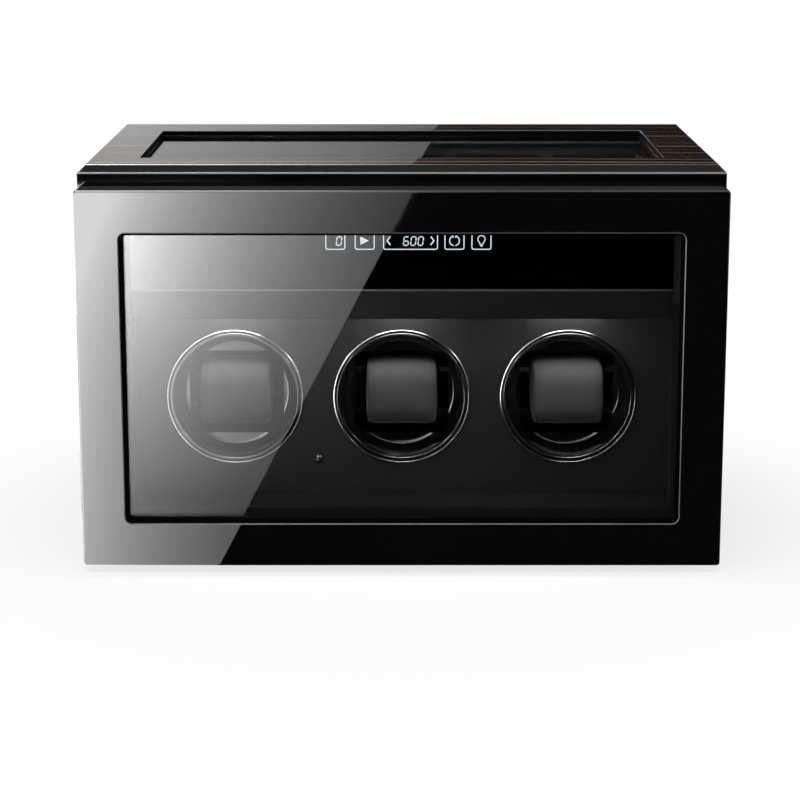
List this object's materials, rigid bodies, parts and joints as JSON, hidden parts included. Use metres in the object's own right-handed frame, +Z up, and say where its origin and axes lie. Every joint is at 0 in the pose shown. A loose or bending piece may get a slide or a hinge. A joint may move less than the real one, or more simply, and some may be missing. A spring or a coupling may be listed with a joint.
{
  "type": "watch winder box",
  "caption": "Black lacquered watch winder box with three turntables behind a glazed door, a touch control strip and a five-watch tray under a glazed ebony lid.",
  "frame": {"origin": "on the resting plane, under the middle of the box", "axes": "+X to the right seen from the front, -Y out of the front door, +Z up"},
  "size_m": [0.3832, 0.2536, 0.2418],
  "materials": {
    "lacquer": "high-gloss black piano lacquer",
    "veneer": "glossy striped ebony veneer, black sides",
    "board": "matte black painted board",
    "glass": "clear",
    "black_plastic": "satin black",
    "gloss_panel": "high gloss black touch panel",
    "gloss_cup": "high gloss black",
    "leatherette": "fine grained black leatherette",
    "velvet": "soft grey velvet",
    "chrome": "polished",
    "hinge_steel": "nickel plated",
    "steel": "zinc plated",
    "motor_steel": "plated",
    "trim_aluminium": "satin",
    "bearing_brass": "turned",
    "gear_plastic": "natural acetal",
    "foot_rubber": "matte",
    "circuit": "circuit board",
    "diffuser": "opal",
    "dark_lens": "smoked"
  },
  "bodies": {
    "case": {"side_panel_left": "lacquer", "side_panel_right": "lacquer", "base_panel": "lacquer", "mid_shelf": "board", "tray_rear_wall": "lacquer", "tray_front_rail": "board", "service_panel": "board", "service_panel_screws": "steel", "feet": "foot_rubber", "foot_screws": "steel", "door_hinge_case_leaves": "hinge_steel", "door_hinge_pins": "hinge_steel", "door_magnets": "steel", "lid_hinge_case_leaves": "hinge_steel", "lid_hinge_pins": "hinge_steel", "hinge_screws_case": "steel", "side_lining_left": "leatherette", "side_lining_right": "leatherette", "platform": "leatherette", "turntable_panel": "leatherette", "turntable_bezels": "chrome", "sensor_lens": "dark_lens", "pelmet": "leatherette", "fascia_trim": "trim_aluminium", "control_fascia": "gloss_panel", "display_module": "circuit", "led_strip": "circuit", "led_diffuser": "diffuser", "drive_bulkhead": "board", "drum_bearings": "bearing_brass", "control_board": "circuit", "power_inlet": "black_plastic", "drive_motors": "motor_steel", "motor_screws": "steel", "tray_insert": "leatherette", "storage_cushions": "velvet"},
    "door": {"door_frame": "lacquer", "door_glass": "glass", "door_glass_bead": "black_plastic", "door_hinge_door_leaves": "hinge_steel", "door_strikes": "steel", "hinge_screws_door": "steel"},
    "lid": {"lid_frame": "veneer", "lid_glass": "glass", "lid_glass_bead": "black_plastic", "lid_hinge_lid_leaves": "hinge_steel", "hinge_screws_lid": "steel"},
    "turntable_left": {"drum_left": "gloss_cup", "drum_gear_left": "gear_plastic", "cushion_left": "velvet"},
    "pinion_left": {"motor_pinion_left": "gear_plastic"},
    "turntable_middle": {"drum_middle": "gloss_cup", "drum_gear_middle": "gear_plastic", "cushion_middle": "velvet"},
    "pinion_middle": {"motor_pinion_middle": "gear_plastic"},
    "turntable_right": {"drum_right": "gloss_cup", "drum_gear_right": "gear_plastic", "cushion_right": "velvet"},
    "pinion_right": {"motor_pinion_right": "gear_plastic"}
  },
  "joints": [
    {"name": "door_hinge", "type": "hinge", "parent": "case", "child": "door", "pos_m": [-0.1912, -0.105, 0.11], "axis": [0, 0, -1], "range_deg": [0, 170]},
    {"name": "lid_hinge", "type": "hinge", "parent": "case", "child": "lid", "pos_m": [0, 0.1264, 0.2176], "axis": [-1, 0, 0], "range_deg": [0, 95]},
    {"name": "turntable_spin_left", "type": "hinge", "parent": "case", "child": "turntable_left", "pos_m": [-0.102, 0, 0.095], "axis": [0, 1, 0], "continuous": true},
    {"name": "turntable_spin_middle", "type": "hinge", "parent": "case", "child": "turntable_middle", "pos_m": [0, 0, 0.095], "axis": [0, 1, 0], "continuous": true},
    {"name": "turntable_spin_right", "type": "hinge", "parent": "case", "child": "turntable_right", "pos_m": [0.102, 0, 0.095], "axis": [0, 1, 0], "continuous": true},
    {"name": "pinion_spin_left", "type": "hinge", "parent": "case", "child": "pinion_left", "pos_m": [-0.102, 0, 0.063], "axis": [0, 1, 0], "continuous": true},
    {"name": "pinion_spin_middle", "type": "hinge", "parent": "case", "child": "pinion_middle", "pos_m": [0, 0, 0.063], "axis": [0, 1, 0], "continuous": true},
    {"name": "pinion_spin_right", "type": "hinge", "parent": "case", "child": "pinion_right", "pos_m": [0.102, 0, 0.063], "axis": [0, 1, 0], "continuous": true}
  ],
  "couplings": [
    {"joint": "pinion_spin_left", "follows": "turntable_spin_left", "ratio": -4},
    {"joint": "pinion_spin_middle", "follows": "turntable_spin_middle", "ratio": -4},
    {"joint": "pinion_spin_right", "follows": "turntable_spin_right", "ratio": -4}
  ]
}
